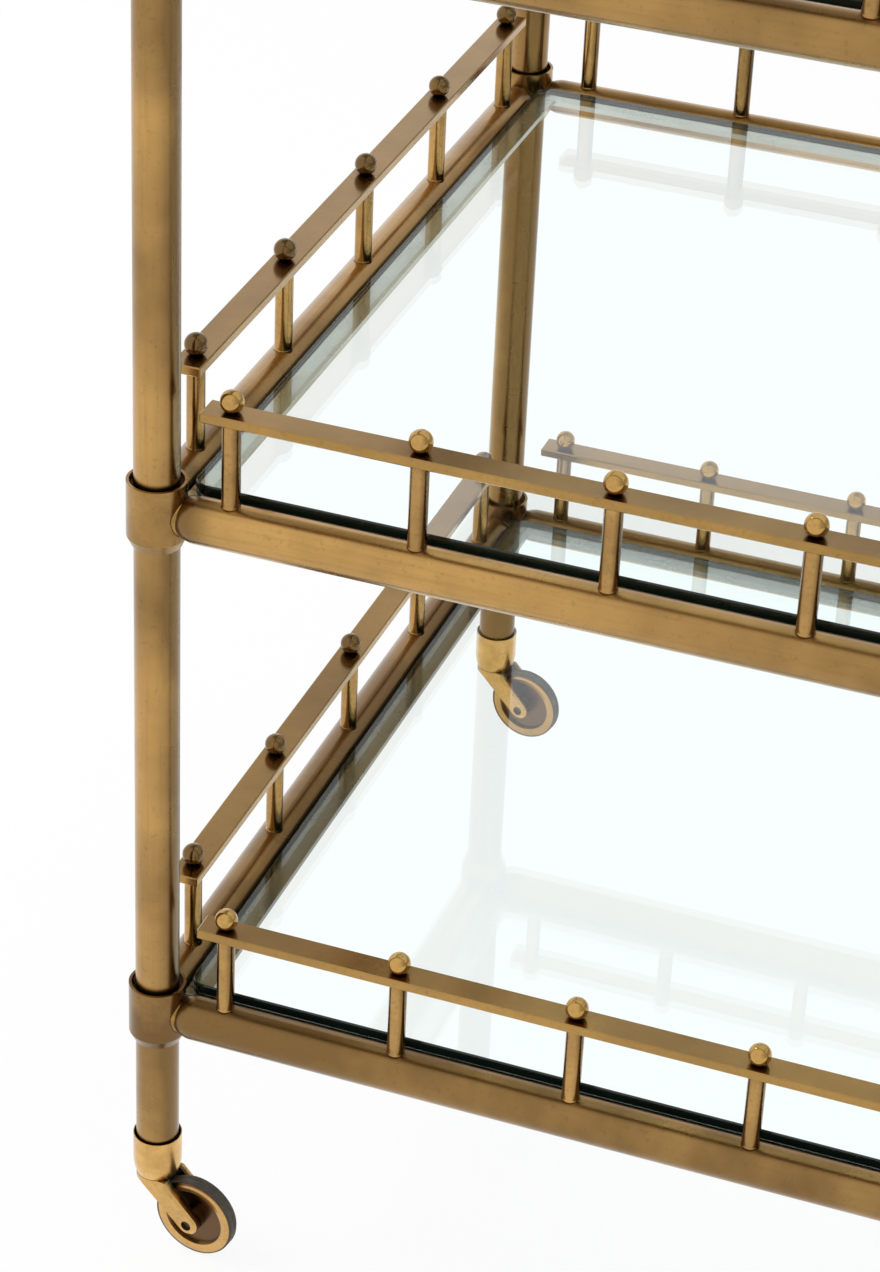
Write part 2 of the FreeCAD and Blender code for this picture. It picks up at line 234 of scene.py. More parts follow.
@dataclass(frozen=True)
class RodShade(BrownMask):
    """Painted shade where the long sides' rods face each other, and less where the short sides' face inwards.
    """

    sideways: tuple[float, float] = (0.25, 0.95)  # cosines where the brown starts and is full
    most: float = 0.6
    short_side: float = 0.45  # how far a short side's rods count

    def share(self, tree: Tree, place: Socket) -> Socket:
        """Browns both kinds of rod by the way that they face, as Tarnish says."""
        facing = add_node(tree, "ShaderNodeNewGeometry").outputs["Normal"]
        quarter = add_node(tree, "ShaderNodeVectorMath", {"operation": "SIGN"}, {0: place})
        turned = add_node(tree, "ShaderNodeVectorMath", {"operation": "MULTIPLY"}, {
            0: facing, 1: quarter.outputs["Vector"]})
        outward = add_node(tree, "ShaderNodeSeparateXYZ", inputs={"Vector": turned.outputs["Vector"]})
        along = add_node(tree, "ShaderNodeMath", {"operation": "ABSOLUTE"}, {0: outward.outputs["X"]})
        inner = add_node(tree, "ShaderNodeMath", {"operation": "MULTIPLY"}, {
            0: outward.outputs["X"], 1: -self.short_side})
        parts = add_node(tree, "ShaderNodeSeparateXYZ", inputs={"Vector": place})
        across = add_node(tree, "ShaderNodeMath", {"operation": "ABSOLUTE"}, {0: parts.outputs["Y"]})
        on_long_side = add_node(tree, "ShaderNodeMath", {"operation": "GREATER_THAN"}, {
            0: across.outputs["Value"], 1: SHORT_RAIL_END_MM * MM})
        side = add_node(tree, "ShaderNodeMix", {"data_type": "FLOAT"}, {
            0: on_long_side.outputs["Value"], 2: inner.outputs["Value"], 3: along.outputs["Value"]})
        brown = add_node(tree, "ShaderNodeMapRange", {"interpolation_type": "SMOOTHSTEP"}, {
            "Value": side.outputs[0], "From Min": self.sideways[0], "From Max": self.sideways[1],
            "To Max": self.most})
        return brown.outputs["Result"]


@dataclass(frozen=True)
class TopShade(BrownMask):
    """Painted shade on upper faces."""

    upward: tuple[float, float] = (0.6, 0.9)  # cosines where the brown starts and is full
    most: float = 0.42

    def share(self, tree: Tree, place: Socket) -> Socket:
        """Browns what faces up, as Tarnish says."""
        facing = add_node(tree, "ShaderNodeNewGeometry").outputs["Normal"]
        parts = add_node(tree, "ShaderNodeSeparateXYZ", inputs={"Vector": facing})
        brown = add_node(tree, "ShaderNodeMapRange", inputs={
            "Value": parts.outputs["Z"], "From Min": self.upward[0], "From Max": self.upward[1],
            "To Max": self.most})
        return brown.outputs["Result"]


@dataclass(frozen=True)
class ShortSideBrowning(BrownMask):
    """Brown all over on the cart's short sides."""

    most: float = 0.85
    fade_mm: float = 1.0

    def share(self, tree: Tree, place: Socket) -> Socket:
        """Browns what lies between the long sides, as Tarnish says."""
        parts = add_node(tree, "ShaderNodeSeparateXYZ", inputs={"Vector": place})
        across = add_node(tree, "ShaderNodeMath", {"operation": "ABSOLUTE"}, {0: parts.outputs["Y"]})
        brown = add_node(tree, "ShaderNodeMapRange", inputs={
            "Value": across.outputs["Value"], "From Min": (SHORT_RAIL_END_MM + self.fade_mm) * MM,
            "From Max": (SHORT_RAIL_END_MM - self.fade_mm) * MM, "To Max": self.most})
        return brown.outputs["Result"]


@dataclass(frozen=True)
class ForkShade(BrownMask):
    """Painted shade on the sides of a fork that face the wheel."""

    wheel_middle: tuple[float, float, float]  # in metres
    wheel_axis: tuple[float, float, float]
    inside_mm: float = 8.0  # from the wheel's middle plane
    fade_mm: float = 1.0

    def share(self, tree: Tree, place: Socket) -> Socket:
        """Browns what lies close to the wheel's middle plane, as Tarnish says."""
        from_wheel = add_node(tree, "ShaderNodeVectorMath", {"operation": "SUBTRACT"}, {
            0: place, 1: self.wheel_middle})
        aside = add_node(tree, "ShaderNodeVectorMath", {"operation": "DOT_PRODUCT"}, {
            0: from_wheel.outputs["Vector"], 1: self.wheel_axis})
        out = add_node(tree, "ShaderNodeMath", {"operation": "ABSOLUTE"}, {0: aside.outputs["Value"]})
        brown = add_node(tree, "ShaderNodeMapRange", inputs={
            "Value": out.outputs["Value"], "From Min": (self.inside_mm + self.fade_mm) * MM,
            "From Max": (self.inside_mm - self.fade_mm) * MM})
        return brown.outputs["Result"]


@dataclass(frozen=True)
class WheelShade(BrownMask):
    """Painted shade on a wheel's disc, and a painted shadow on its rim beside the tyre."""

    wheel_mm: float = 45.0
    disc_mm: float = 16.8  # the disc's radius
    rim_mm: float = 21.0  # radius where the brown beside the tyre starts
    disc_fade: float = 0.02  # both fades as shares of the wheel
    rim_fade: float = 0.015

    def share(self, tree: Tree, place: Socket) -> Socket:
        """Browns the wheel by the way out from its middle, as Tarnish says."""
        own = add_node(tree, "ShaderNodeTexCoord").outputs["Generated"]  # from zero to one in the wheel's box
        from_middle = add_node(tree, "ShaderNodeVectorMath", {"operation": "MULTIPLY_ADD"}, {
            0: own, 1: (1.0, 0.0, 1.0), 2: (-0.5, 0.0, -0.5)})
        out = add_node(tree, "ShaderNodeVectorMath", {"operation": "LENGTH"}, {
            0: from_middle.outputs["Vector"]})
        disc, rim = self.disc_mm / self.wheel_mm, self.rim_mm / self.wheel_mm
        on_disc = add_node(tree, "ShaderNodeMapRange", inputs={
            "Value": out.outputs["Value"], "From Min": disc, "From Max": disc - self.disc_fade})
        on_rim = add_node(tree, "ShaderNodeMapRange", inputs={
            "Value": out.outputs["Value"], "From Min": rim, "From Max": rim + self.rim_fade})
        either = add_node(tree, "ShaderNodeMath", {"operation": "MAXIMUM"}, {
            0: on_disc.outputs["Result"], 1: on_rim.outputs["Result"]})
        return either.outputs["Value"]


@dataclass(frozen=True)
class BrassFinish:
    """Brass, polished, aged to brown in patches, and lacquered.

    Polishing leaves a soft mirror with fine streaks along the piece. Age darkens it in broad clouds and
    small freckles, and the clouds are duller. Painted shade darkens the corners by how closed in they
    are. The lacquer over it mirrors white at low angles.
    """

    name: str
    clean: str
    aged: str
    freckle: str
    roughness: float
    grain: Grain = Grain.NONE
    # The rails' and collars' browning differs by tier as painted shade
    age: float = 0.0  # how brown the whole piece is, from zero to one
    cloud_mm: float = 110.0
    cloud_range: tuple[float, float] = (0.36, 0.68)  # noise where the clouds start and are full
    cloud_share: float = 0.75
    dull_range: tuple[float, float] = (0.3, 0.75)  # the same for how dull they are
    cloud_dullness: tuple[float, float] = (0.8, 1.3)  # roughness outside and inside the clouds
    corner_shade_mm: float = 5.0
    corner_shade_range: tuple[float, float] = (0.7, 0.25)  # openness where the grime starts and is full
    corner_shade_share: float = 0.85
    freckle_mm: float = 2.6
    freckle_range: tuple[float, float] = (0.6, 0.8)
    freckle_share: float = 0.3
    streak_mm: float = 2.2  # finer polishing marks would not show
    streak_depth_mm: float = 0.003
    streak_strength: float = 0.5
    streak_range: tuple[float, float] = (0.48, 0.75)
    streak_share: float = 0.25
    lacquer: float = 0.45
    lacquer_roughness: float = 0.18
    brown_mask: BrownMask | None = None

    def colour(
        self,
        tree: Tree,
        place: Socket,
        clouds: Socket,
        streaks: Socket,
    ) -> Socket:
        """Mixes the brass from clean to brown, with streaks, freckles and painted corner shade over it.

        Args:
            tree: the material's tree.
            place: the point, in metres.
            clouds: the clouds' noise.
            streaks: the polishing streaks' noise.

        Returns:
            The metal's colour.
        """
        cloudy = add_node(tree, "ShaderNodeMapRange", inputs={
            "Value": clouds, "From Min": self.cloud_range[0], "From Max": self.cloud_range[1]})
        brown = add_node(tree, "ShaderNodeMath", {"operation": "MULTIPLY_ADD", "use_clamp": True}, {
            0: cloudy.outputs["Result"], 1: self.cloud_share, 2: self.age}).outputs["Value"]
        # Painted shade comes in here through the brown mask, on every piece but the balls
        if self.brown_mask is not None:
            brown = add_node(tree, "ShaderNodeMath", {"operation": "ADD", "use_clamp": True}, {
                0: brown, 1: self.brown_mask.share(tree, place)}).outputs["Value"]
        colour = add_node(tree, "ShaderNodeMix", {"data_type": "RGBA"}, {
            0: brown, 6: linear(self.clean), 7: linear(self.aged)}).outputs[2]
        freckles = add_node(tree, "ShaderNodeTexNoise", inputs={
            "Vector": place, "Scale": per_metre(self.freckle_mm), "Detail": 2.0}).outputs["Fac"]
        # Painted shade: the brass is darkened where ambient occlusion finds it closed in
        openness = add_node(tree, "ShaderNodeAmbientOcclusion", {"samples": 6}, {
            "Distance": self.corner_shade_mm * MM}).outputs["AO"]
        layers = ((streaks, self.streak_range, self.streak_share, self.aged),
                  (freckles, self.freckle_range, self.freckle_share, self.freckle),
                  (openness, self.corner_shade_range, self.corner_shade_share, self.freckle))
        for pattern, (start, full), most, over in layers:
            share = add_node(tree, "ShaderNodeMapRange", inputs={
                "Value": pattern, "From Min": start, "From Max": full, "To Max": most})
            colour = add_node(tree, "ShaderNodeMix", {"data_type": "RGBA"}, {
                0: share.outputs["Result"], 6: colour, 7: linear(over)}).outputs[2]
        return colour

    def make(self) -> Material:
        """Builds the material.

        Returns:
            The brass, ready to assign.
        """
        material, tree = empty_material(self.name)
        place = add_node(tree, "ShaderNodeTexCoord").outputs["Object"]
        clouds = add_node(tree, "ShaderNodeTexNoise", inputs={
            "Vector": place, "Scale": per_metre(self.cloud_mm), "Detail": 4.0,
            "Roughness": 0.6}).outputs["Fac"]
        stretched = add_node(tree, "ShaderNodeVectorMath", {"operation": "MULTIPLY"}, {
            0: place, 1: self.grain.value})
        streaks = add_node(tree, "ShaderNodeTexNoise", inputs={
            "Vector": stretched.outputs["Vector"], "Scale": per_metre(self.streak_mm), "Detail": 3.0,
            "Roughness": 0.65}).outputs["Fac"]
        sharp, dull = (self.roughness * share for share in self.cloud_dullness)
        dullness = add_node(tree, "ShaderNodeMapRange", inputs={
            "Value": clouds, "From Min": self.dull_range[0], "From Max": self.dull_range[1],
            "To Min": sharp, "To Max": dull})
        bump = add_node(tree, "ShaderNodeBump", inputs={
            "Strength": self.streak_strength, "Distance": self.streak_depth_mm * MM, "Height": streaks})
        surface = add_node(tree, "ShaderNodeBsdfPrincipled", inputs={
            "Base Color": self.colour(tree, place, clouds, streaks), "Metallic": 1.0,
            "Roughness": dullness.outputs["Result"], "Normal": bump.outputs["Normal"],
            "Coat Weight": self.lacquer, "Coat Roughness": self.lacquer_roughness})
        add_node(tree, "ShaderNodeOutputMaterial", inputs={"Surface": surface.outputs["BSDF"]})
        return material


@dataclass(frozen=True)
class CloudedFinish:
    """A surface with soft clouds of a second colour, and marks too fine to be more than a bump."""

    name: str
    main: str
    cloud: str
    cloud_mm: float
    roughness: float
    cloud_roughness: float | None = None  # in the clouds, where it differs
    cloud_detail: float = 4.0
    cloud_crumble: float = 0.5  # how rough the clouds' outlines are
    cloud_range: tuple[float, float] = (0.0, 1.0)  # noise where the clouds start and are full
    cloud_share: float = 1.0
    metallic: float = 0.0
    ior: float | None = None  # metals keep the shader's own
    mark_mm: float | None = None
    mark_detail: float = 1.0
    mark_depth_mm: float = 0.02
    mark_strength: float = 0.4

    def make(self) -> Material:
        """Builds the material.

        Returns:
            The finish, ready to assign.
        """
        material, tree = empty_material(self.name)
        place = add_node(tree, "ShaderNodeTexCoord").outputs["Object"]
        clouds = add_node(tree, "ShaderNodeTexNoise", inputs={
            "Vector": place, "Scale": per_metre(self.cloud_mm), "Detail": self.cloud_detail,
            "Roughness": self.cloud_crumble}).outputs["Fac"]
        share = add_node(tree, "ShaderNodeMapRange", inputs={
            "Value": clouds, "From Min": self.cloud_range[0], "From Max": self.cloud_range[1],
            "To Max": self.cloud_share})
        colour = add_node(tree, "ShaderNodeMix", {"data_type": "RGBA"}, {
            0: share.outputs["Result"], 6: linear(self.main), 7: linear(self.cloud)})
        looks = {"Base Color": colour.outputs[2], "Metallic": self.metallic, "Roughness": self.roughness}
        if self.ior is not None:
            looks["IOR"] = self.ior
        if self.cloud_roughness is not None:
            looks["Roughness"] = add_node(tree, "ShaderNodeMapRange", inputs={
                "Value": clouds, "To Min": self.roughness, "To Max": self.cloud_roughness}).outputs["Result"]
        if self.mark_mm is not None:
            marks = add_node(tree, "ShaderNodeTexNoise", inputs={
                "Vector": place, "Scale": per_metre(self.mark_mm), "Detail": self.mark_detail})
            looks["Normal"] = add_node(tree, "ShaderNodeBump", inputs={
                "Strength": self.mark_strength, "Distance": self.mark_depth_mm * MM,
                "Height": marks.outputs["Fac"]}).outputs["Normal"]
        surface = add_node(tree, "ShaderNodeBsdfPrincipled", inputs=looks)
        add_node(tree, "ShaderNodeOutputMaterial", inputs={"Surface": surface.outputs["BSDF"]})
        return material


@dataclass(frozen=True)
class PaneFinish:
    """Float glass: almost clear, a little green, with a hard bright mirror at low angles."""

    name: str = "float_glass_pane"
    tint: str = "#F8FFFE"
    ior: float = 1.52

    def make(self) -> Material:
        """Builds the material, which lets light through to the floor as real glass does.

        Returns:
            The glass, ready to assign.
        """
        material, tree = empty_material(self.name)
        surface = add_node(tree, "ShaderNodeBsdfPrincipled", inputs={
            "Base Color": linear(self.tint), "Roughness": 0.0, "IOR": self.ior, "Transmission Weight": 1.0})
        clear = add_node(tree, "ShaderNodeBsdfTransparent", inputs={"Color": linear(self.tint)})
        path = add_node(tree, "ShaderNodeLightPath")
        unseen = add_node(tree, "ShaderNodeMath", {"operation": "MAXIMUM"}, {
            0: path.outputs["Is Shadow Ray"], 1: path.outputs["Is Diffuse Ray"]})
        mixed = add_node(tree, "ShaderNodeMixShader", inputs={
            0: unseen.outputs["Value"], 1: surface.outputs["BSDF"], 2: clear.outputs["BSDF"]})
        add_node(tree, "ShaderNodeOutputMaterial", inputs={"Surface": mixed.outputs["Shader"]})
        return material


@dataclass
class Finishes:
    """Every material of the cart, made once."""

    post: Material = field(init=False)
    long_rail: dict[Tier, Material] = field(init=False)
    end_rail: dict[Tier, Material] = field(init=False)
    collar: dict[Tier, Material] = field(init=False)
    trim: Material = field(init=False)
    ball: Material = field(init=False)
    rod: Material = field(init=False)
    braze: Material = field(init=False)
    caster: Material = field(init=False)
    wheel: Material = field(init=False)
    strip: dict[Tier, Material] = field(init=False)
    steel: Material = field(init=False)
    rubber: Material = field(init=False)
    pane: Material = field(init=False)
    edge: Material = field(init=False)

    def __post_init__(self) -> None:
        """Builds the materials."""
        tube = {"clean": "#C89C58", "aged": "#806030", "freckle": "#54401E", "roughness": 0.28}
        # Painted shade: the rails' and collars' brass is browner on the bottom and top tiers than on the
        # middle one
        tier_shade = {Tier.BOTTOM: 0.5, Tier.MIDDLE: 0.0, Tier.TOP: 0.4}
        end_rail_browning = 0.3  # beyond the tier's own
        self.post = BrassFinish(
            "polished_brass_post_tube", grain=Grain.ALONG_Z, brown_mask=PostShade(), **tube).make()
        self.long_rail = {tier: BrassFinish(
            f"polished_brass_rail_tube_{tier.value}", grain=Grain.ALONG_X, age=age,
            brown_mask=RailEndShade("X", LONG_RAIL_END_MM), **tube).make() for tier, age in tier_shade.items()}
        self.end_rail = {tier: BrassFinish(
            f"polished_brass_end_rail_tube_{tier.value}", grain=Grain.ALONG_Y, age=age + end_rail_browning,
            brown_mask=RailEndShade("Y", SHORT_RAIL_END_MM), **tube).make() for tier, age in tier_shade.items()}
        self.collar = {tier: BrassFinish(
            f"turned_brass_collar_{tier.value}", "#B58C4C", "#76562A", "#4E3A1C", roughness=0.24, age=age,
            cloud_mm=42.0).make() for tier, age in tier_shade.items()}
        self.trim = BrassFinish(
            "polished_brass_bar", "#B48C4A", "#806030", "#5C4420", roughness=0.18, cloud_share=0.6,
            brown_mask=TopShade()).make()
        self.rod = BrassFinish(
            "polished_brass_rod", "#C2985A", "#5E4524", "#463416", roughness=0.18, cloud_mm=48.0,
            cloud_share=0.5, lacquer=0.2, brown_mask=RodShade()).make()
        self.ball = BrassFinish(
            "turned_and_polished_brass_ball", "#CBA056", "#6E5229", "#4E3A1C", roughness=0.15, cloud_mm=18.0,
            cloud_share=0.3, freckle_mm=1.4, brown_mask=ShortSideBrowning()).make()
        self.braze = BrassFinish(
            "brazing_brass", "#B48C46", "#6E4E25", "#4A3418", roughness=0.3, cloud_mm=5.0,
            freckle_mm=1.2).make()
        self.caster = BrassFinish(
            "cast_and_polished_brass", "#E8BA6E", "#BA8C48", "#4A3418", roughness=0.27, cloud_mm=14.0,
            grain=Grain.ALONG_Z, freckle_share=0.06, corner_shade_mm=9.0).make()
        self.wheel = BrassFinish(
            "cast_and_turned_brass_wheel", "#DCAE68", "#664828", "#3C2A16", roughness=0.3, cloud_mm=60.0,
            cloud_share=0.5, freckle_share=0.08, brown_mask=WheelShade()).make()
        # Nickel plating on strip: pale and a little green, with a soft cloudy shine, and a darker grey copy
        # for the bottom tier as painted shade
        nickel = {"cloud_mm": 30.0, "roughness": 0.18, "cloud_roughness": 0.34, "metallic": 1.0}
        bright_strip = CloudedFinish("nickel_plated_strip", "#CFD2C8", "#B4B6AA", **nickel).make()
        shaded_strip = CloudedFinish("shaded_nickel_plated_strip", "#8B8D86", "#77786E", **nickel).make()
        self.strip = {Tier.BOTTOM: shaded_strip, Tier.MIDDLE: bright_strip, Tier.TOP: bright_strip}
        # Mild steel off the lathe: grey and stained, with fine tool marks
        self.steel = CloudedFinish(
            "turned_mild_steel", "#6A6258", "#3E372F", cloud_mm=3.0, cloud_detail=3.0, roughness=0.38,
            metallic=1.0, mark_mm=0.6).make()
        # Moulded rubber: matt grey, with a faint mould grain and dust rubbed into it
        self.rubber = CloudedFinish(
            "moulded_grey_rubber", "#4A423B", "#6E655B", cloud_mm=9.0, cloud_crumble=0.65,
            cloud_range=(0.42, 0.75), cloud_share=0.7, roughness=0.62, ior=1.52, mark_mm=0.8, mark_detail=2.0,
            mark_depth_mm=0.05, mark_strength=0.5).make()
        self.pane = PaneFinish().make()
        # Ground and polished edge of float glass: along the pane its green adds up almost to black
        self.edge = CloudedFinish(
            "float_glass_polished_edge", "#0C1714", "#20312B", cloud_mm=35.0, cloud_detail=3.0,
            roughness=0.12, ior=1.52).make()

    def fork(self, corner: Corner, middle: Sequence[float], axis: Sequence[float]) -> Material:
        """The finish of one fork, bright outside, with painted shade towards its wheel.

        Args:
            corner: which post it hangs under.
            middle: the wheel's middle, in metres.
            axis: the wheel's axle.

        Returns:
            The cast brass, ready to assign.
        """
        return BrassFinish(
            f"cast_brass_fork_{corner.value}", "#DCAE66", "#4E3719", "#3C2A14", roughness=0.27, cloud_mm=14.0,
            cloud_share=0.22, freckle_share=0.06, corner_shade_mm=9.0,
            brown_mask=ForkShade(tuple(middle), tuple(axis))).make()


def dress(node: str, material: Material) -> None:
    """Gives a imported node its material.

    Args:
        node: the node's name.
        material: what it is made of.
    """
    mesh = frame["nodes"][node].data
    mesh.materials.clear()
    mesh.materials.append(material)
    log.info("dressed %s in %s", node, material.name)


def soften(node: str, width_mm: float, segments: int = 2, sharp_deg: float = 50.0) -> None:
    """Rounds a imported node's sharp edges, as filing and polishing do.

    Args:
        node: the node's name.
        width_mm: how wide the rounded strip is.
        segments: how many faces go round it.
        sharp_deg: the least turn that counts as an edge.
    """
    bevel = frame["nodes"][node].modifiers.new("filed_edges", "BEVEL")
    bevel.width = width_mm * MM
    bevel.segments = segments
    bevel.limit_method = "ANGLE"
    bevel.angle_limit = math.radians(sharp_deg)
    bevel.harden_normals = True


def new_piece(name: str, bm: Mesh, materials: Iterable[Material]) -> bpy.types.Object:
    """Turns a finished bmesh into a piece of the scene.

    Args:
        name: the piece's name.
        bm: its mesh, which is freed.
        materials: its material slots, in order.

    Returns:
        The new object.
    """
    mesh = bpy.data.meshes.new(name)
    bm.to_mesh(mesh)
    bm.free()
    for material in materials:
        mesh.materials.append(material)
    piece = bpy.data.objects.new(name, mesh)
    bpy.context.scene.collection.objects.link(piece)
    log.info("made %s with %d faces", name, len(mesh.polygons))
    return piece


def lathe(
    bm: Mesh, outline: Sequence[tuple[float, float]], place: Matrix, segments: int
) -> None:
    """Turns an outline about Z into smooth faces.

    Args:
        bm: the mesh that takes them.
        outline: (radius, height) points in metres, where a radius of zero closes an end.
        place: where the turned form goes.
        segments: how many sides go round.
    """
    rings = []
    for radius, height in outline:
        if radius == 0:
            rings.append([bm.verts.new(place @ Vector((0, 0, height)))])
            continue
        angles = [2 * math.pi * step / segments for step in range(segments)]
        points = [Vector((radius * math.cos(a), radius * math.sin(a), height)) for a in angles]
        rings.append([bm.verts.new(place @ point) for point in points])
    for lower, upper in zip(rings, rings[1:]):
        for step in range(segments):
            after = (step + 1) % segments
            corners = [lower[step % len(lower)], lower[after % len(lower)],
                       upper[after % len(upper)], upper[step % len(upper)]]
            face = bm.faces.new(list(dict.fromkeys(corners)))
            face.smooth = True


def arc(
    centre: tuple[float, float], radius: float, start_deg: float, end_deg: float, steps: int
) -> list[tuple[float, float]]:
    """Points along a circular arc of an outline.

    Args:
        centre: the arc's centre, as (radius, height).
        radius: the arc's own radius.
        start_deg: where it starts, counted from straight outwards.
        end_deg: where it ends.
        steps: how many straight pieces it has.

    Returns:
        The arc's points, both ends included.
    """
    turns = [math.radians(start_deg + (end_deg - start_deg) * step / steps) for step in range(steps + 1)]
    return [(centre[0] + radius * math.cos(t), centre[1] + radius * math.sin(t)) for t in turns]


def post_axis(corner: Corner) -> Vector:
    """The middle of a post, in plan."""
    low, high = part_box(f"post_{corner.value}")
    middle = (low + high) / 2
    return Vector((middle.x, middle.y, 0))


@dataclass
class Gallery:
    """The low fence round one shelf: rods on the rails, flat bars on the rods, and a ball over each rod."""

    tier: Tier
    finishes: Finishes
    long_count: int = 9
    short_count: int = 5
    long_inset_mm: float = 37.0
    short_inset_mm: float = 45.0
    rod_radius_mm: float = 4.5
    foot_sink_mm: float = 0.7  # the rod's foot is filed to the rail's crown
    braze_mm: float = 0.4
    foot_braze: tuple[tuple[float, float], ...] = ((0.3, 0.5), (0.0, 1.4), (0.0, 1.8))  # (out, up) in brazes
    head_braze: tuple[tuple[float, float], ...] = ((0.0, 1.2), (0.0, 0.8), (0.7, 0.0))  # (out, down)
    ball_radius_mm: float = 5.7
    ball_neck_mm: float = 2.4
    ball_top_deg: float = 88.0  # latitude of the last ring
    ball_steps: int = 18
    bar_edge_mm: float = 0.45
    segments: int = 28

    def places(self) -> list[Vector]:
        """Where the rods stand, in plan.

        Returns:
            One point for each rod, all four sides.
        """
        low, high = post_axis(Corner.FRONT_LEFT), post_axis(Corner.REAR_RIGHT)
        long_inset, short_inset = self.long_inset_mm * MM, self.short_inset_mm * MM
        found = []
        for step in range(self.long_count):
            x = low.x + long_inset + (high.x - low.x - 2 * long_inset) * step / (self.long_count - 1)
            found += [Vector((x, low.y, 0)), Vector((x, high.y, 0))]
        for step in range(self.short_count):
            y = low.y + short_inset + (high.y - low.y - 2 * short_inset) * step / (self.short_count - 1)
            found += [Vector((low.x, y, 0)), Vector((high.x, y, 0))]
        return found

    def build_rods(self) -> None:
        """Makes round rods, each with a small braze at its foot and head."""
        low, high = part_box(f"rods_{self.tier.value}")
        radius, braze = self.rod_radius_mm * MM, self.braze_mm * MM
        foot, head = low.z - self.foot_sink_mm * MM, high.z
        outline = [(0, foot), (radius + braze, foot)]
        outline += [(radius + braze * out, low.z + braze * up) for out, up in self.foot_braze]
        outline += [(radius + braze * out, head - braze * down) for out, down in self.head_braze]
        outline.append((0, head))
        bm = bmesh.new()
        for place in self.places():
            lathe(bm, outline, Matrix.Translation(place), self.segments)
        rods = new_piece(f"gallery_rods_{self.tier.value}", bm, [self.finishes.rod])
        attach(rods, "frame")
        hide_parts(f"rods_{self.tier.value}")

    def build_balls(self) -> None:
        """Makes round balls, each with a flat on the bar."""
        low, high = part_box(f"balls_{self.tier.value}")
        radius, neck = self.ball_radius_mm * MM, self.ball_neck_mm * MM
        middle = low.z + math.sqrt(radius**2 - neck**2)
        seat_deg = -math.degrees(math.acos(neck / radius))
        outline = [(0, low.z), *arc((0, middle), radius, seat_deg, self.ball_top_deg, self.ball_steps),
                   (0, middle + radius)]
        bm = bmesh.new()
        for place in self.places():
            lathe(bm, outline, Matrix.Translation(place), self.segments)
        balls = new_piece(f"gallery_balls_{self.tier.value}", bm, [self.finishes.ball])
        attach(balls, "frame")
        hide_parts(f"balls_{self.tier.value}")

    def build(self) -> None:
        """Makes the rods and balls, and dresses the bars."""
        self.build_rods()
        self.build_balls()
        dress(f"bars_{self.tier.value}", self.finishes.trim)
        soften(f"bars_{self.tier.value}", self.bar_edge_mm)


@dataclass
class GlassShelf:
    """One pane with rounded corners and a polished edge."""

    tier: Tier
    finishes: Finishes
    corner_mm: float = 8.0
    arris_mm: float = 0.7
    film_mm: float = 0.1  # air between the pane and its ledges
    corner_steps: int = 8

    def ring(self, bm: Mesh, inset: float, height: float) -> list[bmesh.types.BMVert]:
        """One level outline of the pane.

        Args:
            bm: the mesh that takes its points.
            inset: how far it lies inside the pane's edge.
            height: its level.

        Returns:
            The outline's points, in order.
        """
        low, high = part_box(f"glass_{self.tier.value}")
        radius = self.corner_mm * MM
        middles = [(high.x - radius, high.y - radius, 0), (low.x + radius, high.y - radius, 90),
                   (low.x + radius, low.y + radius, 180), (high.x - radius, low.y + radius, 270)]
        points = []
        for x, y, start in middles:
            points += arc((x, y), radius - inset, start, start + 90, self.corner_steps)
        return [bm.verts.new((x, y, height)) for x, y in points]

    def build(self) -> None:
        """Makes the pane, clear on its faces and dark round its edge."""
        low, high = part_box(f"glass_{self.tier.value}")
        arris = self.arris_mm * MM
        bm = bmesh.new()
        floor = low.z + self.film_mm * MM
        rings = [self.ring(bm, arris, floor), self.ring(bm, 0, floor + arris),
                 self.ring(bm, 0, high.z - arris), self.ring(bm, arris, high.z)]
        bm.faces.new(list(reversed(rings[0])))
        bm.faces.new(rings[-1])
        for lower, upper in zip(rings, rings[1:]):
            for step, point in enumerate(lower):
                before = step - 1
                side = bm.faces.new([lower[before], point, upper[step], upper[before]])
                side.material_index = 1
        pane = new_piece(f"glass_shelf_{self.tier.value}", bm, [self.finishes.pane, self.finishes.edge])
        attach(pane, "frame")
        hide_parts(f"glass_{self.tier.value}")


@dataclass
class Frame:
    """Posts, caps, collars, rails and ledge strips."""

    finishes: Finishes

    def build(self) -> None:
        """Dresses every fixed brass piece."""
        for corner in Corner:
            dress(f"post_{corner.value}", self.finishes.post)
        dress("post_caps", self.finishes.trim)
        for tier in Tier:
            dress(f"collars_{tier.value}", self.finishes.collar[tier])
            dress(f"ledges_{tier.value}", self.finishes.strip[tier])
            for side in Side:
                rails = self.finishes.long_rail if side in (Side.FRONT, Side.REAR) else self.finishes.end_rail
                dress(f"rail_{side.value}_{tier.value}", rails[tier])


